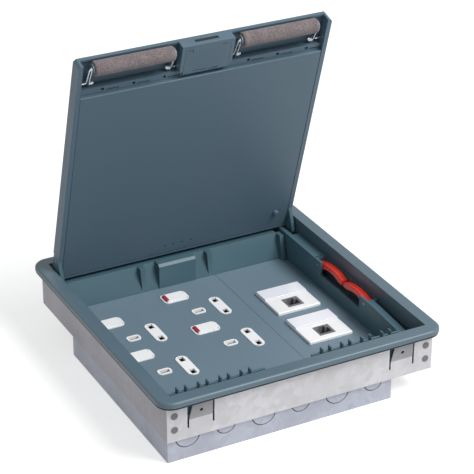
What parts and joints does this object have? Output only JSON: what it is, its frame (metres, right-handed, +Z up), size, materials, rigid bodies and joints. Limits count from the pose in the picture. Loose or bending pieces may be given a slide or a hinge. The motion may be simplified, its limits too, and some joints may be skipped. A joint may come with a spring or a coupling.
{
  "type": "floor socket box",
  "caption": "Shallow floor box with a hinged lid, switched power sockets, data modules, foam-sealed cable outlets and a galvanised two-tier body.",
  "frame": {"origin": "under the middle of the flange, on the plane of the box's base", "axes": "+Z up out of the floor, +Y from the latch side to the hinge side, +X to the right seen from the latch side"},
  "size_m": [0.275, 0.281, 0.2952],
  "materials": {
    "blue_grey_plastic": "moulded, fine texture",
    "blue_grey_paint": "powder coated",
    "galvanised": "galvanised sheet",
    "bright_steel": "bright zinc",
    "white_plastic": "gloss white",
    "clear_label": "clear label strip",
    "dark_plastic": "dark moulding",
    "red_plastic": "red moulding",
    "brass": "rolled brass",
    "steel": "bright steel wire and pins",
    "foam": "open-cell foam"
  },
  "bodies": {
    "box": {"trim_frame": "blue_grey_plastic", "rear_moulding": "blue_grey_plastic", "side_channel": "blue_grey_plastic", "front_comb": "blue_grey_plastic", "power_plate": "blue_grey_paint", "data_plate": "blue_grey_paint", "upper_box": "galvanised", "lower_box": "galvanised", "compartment_divider": "galvanised", "front_plate": "bright_steel", "back_plate": "bright_steel", "plate_rivets": "bright_steel", "socket_cover_1": "white_plastic", "socket_cover_2": "white_plastic", "socket_base_1": "white_plastic", "socket_base_2": "white_plastic", "data_module_1": "white_plastic", "data_module_2": "white_plastic", "label_window_1": "clear_label", "label_window_2": "clear_label", "data_jack_1": "dark_plastic", "data_jack_2": "dark_plastic", "earth_contacts": "brass", "line_contacts": "brass", "neutral_contacts": "brass", "earth_stud": "brass", "earth_nut": "brass", "lever_pins": "steel", "plate_screws": "steel", "hinge_pins": "steel"},
    "lid": {"lid_tray": "blue_grey_plastic", "lid_plate": "bright_steel", "lid_panel": "blue_grey_plastic", "lid_peg": "blue_grey_plastic", "latch_cover": "blue_grey_plastic", "hinge_arm_left": "blue_grey_plastic", "hinge_arm_right": "blue_grey_plastic", "arm_screws": "steel"},
    "latch": {"latch_bolt": "steel"},
    "outlet_left": {"roll_bail_left": "steel", "foam_roll_left": "foam"},
    "outlet_right": {"roll_bail_right": "steel", "foam_roll_right": "foam"},
    "rear_lever": {"rear_lever": "red_plastic"},
    "front_lever": {"front_lever": "red_plastic"},
    "shutter_1": {"shutter_1": "dark_plastic"},
    "rocker_1": {"rocker_1": "white_plastic"},
    "shutter_2": {"shutter_2": "dark_plastic"},
    "rocker_2": {"rocker_2": "white_plastic"},
    "shutter_3": {"shutter_3": "dark_plastic"},
    "rocker_3": {"rocker_3": "white_plastic"},
    "shutter_4": {"shutter_4": "dark_plastic"},
    "rocker_4": {"rocker_4": "white_plastic"}
  },
  "joints": [
    {"name": "lid_hinge", "type": "hinge", "parent": "box", "child": "lid", "pos_m": [0, 0.1194, 0.0582], "axis": [-1, 0, 0], "range_deg": [-73.2, 31.8]},
    {"name": "latch_slide", "type": "slide", "parent": "lid", "child": "latch", "axis": [0, -0.289, 0.9573], "range_m": [0, 0.0032]},
    {"name": "outlet_left_swing", "type": "hinge", "parent": "lid", "child": "outlet_left", "pos_m": [0, 0.05538, 0.27025], "axis": [1, 0, 0], "range_deg": [0, 30], "stiffness_Nm_per_rad": 0.02, "springref_deg": -17.19},
    {"name": "outlet_right_swing", "type": "hinge", "parent": "lid", "child": "outlet_right", "pos_m": [0, 0.05538, 0.27025], "axis": [1, 0, 0], "range_deg": [0, 30], "stiffness_Nm_per_rad": 0.02, "springref_deg": -17.19},
    {"name": "rear_lever_lift", "type": "hinge", "parent": "box", "child": "rear_lever", "pos_m": [0.1187, 0.0395, 0.046], "axis": [-1, 0, 0], "range_deg": [0, 80]},
    {"name": "front_lever_lift", "type": "hinge", "parent": "box", "child": "front_lever", "pos_m": [0.1187, -0.0445, 0.046], "axis": [1, 0, 0], "range_deg": [0, 80]},
    {"name": "rocker_1_tip", "type": "hinge", "parent": "box", "child": "rocker_1", "pos_m": [-0.0926, 0.0638, 0.0236], "axis": [0, -1, 0], "range_deg": [0, 7]},
    {"name": "shutter_1_slide", "type": "slide", "parent": "box", "child": "shutter_1", "axis": [1, 0, 0], "range_m": [0, 0.0066], "stiffness_N_per_m": 40, "springref_m": -0.003},
    {"name": "rocker_2_tip", "type": "hinge", "parent": "box", "child": "rocker_2", "pos_m": [-0.0926, -0.0003, 0.0236], "axis": [0, -1, 0], "range_deg": [0, 7]},
    {"name": "shutter_2_slide", "type": "slide", "parent": "box", "child": "shutter_2", "axis": [1, 0, 0], "range_m": [0, 0.0066], "stiffness_N_per_m": 40, "springref_m": -0.003},
    {"name": "rocker_3_tip", "type": "hinge", "parent": "box", "child": "rocker_3", "pos_m": [-0.0182, 0.08045, 0.0236], "axis": [0, -1, 0], "range_deg": [0, 7]},
    {"name": "shutter_3_slide", "type": "slide", "parent": "box", "child": "shutter_3", "axis": [1, 0, 0], "range_m": [0, 0.0066], "stiffness_N_per_m": 40, "springref_m": -0.003},
    {"name": "rocker_4_tip", "type": "hinge", "parent": "box", "child": "rocker_4", "pos_m": [-0.0182, 0.01635, 0.0236], "axis": [0, -1, 0], "range_deg": [0, 7]},
    {"name": "shutter_4_slide", "type": "slide", "parent": "box", "child": "shutter_4", "axis": [1, 0, 0], "range_m": [0, 0.0066], "stiffness_N_per_m": 40, "springref_m": -0.003}
  ]
}
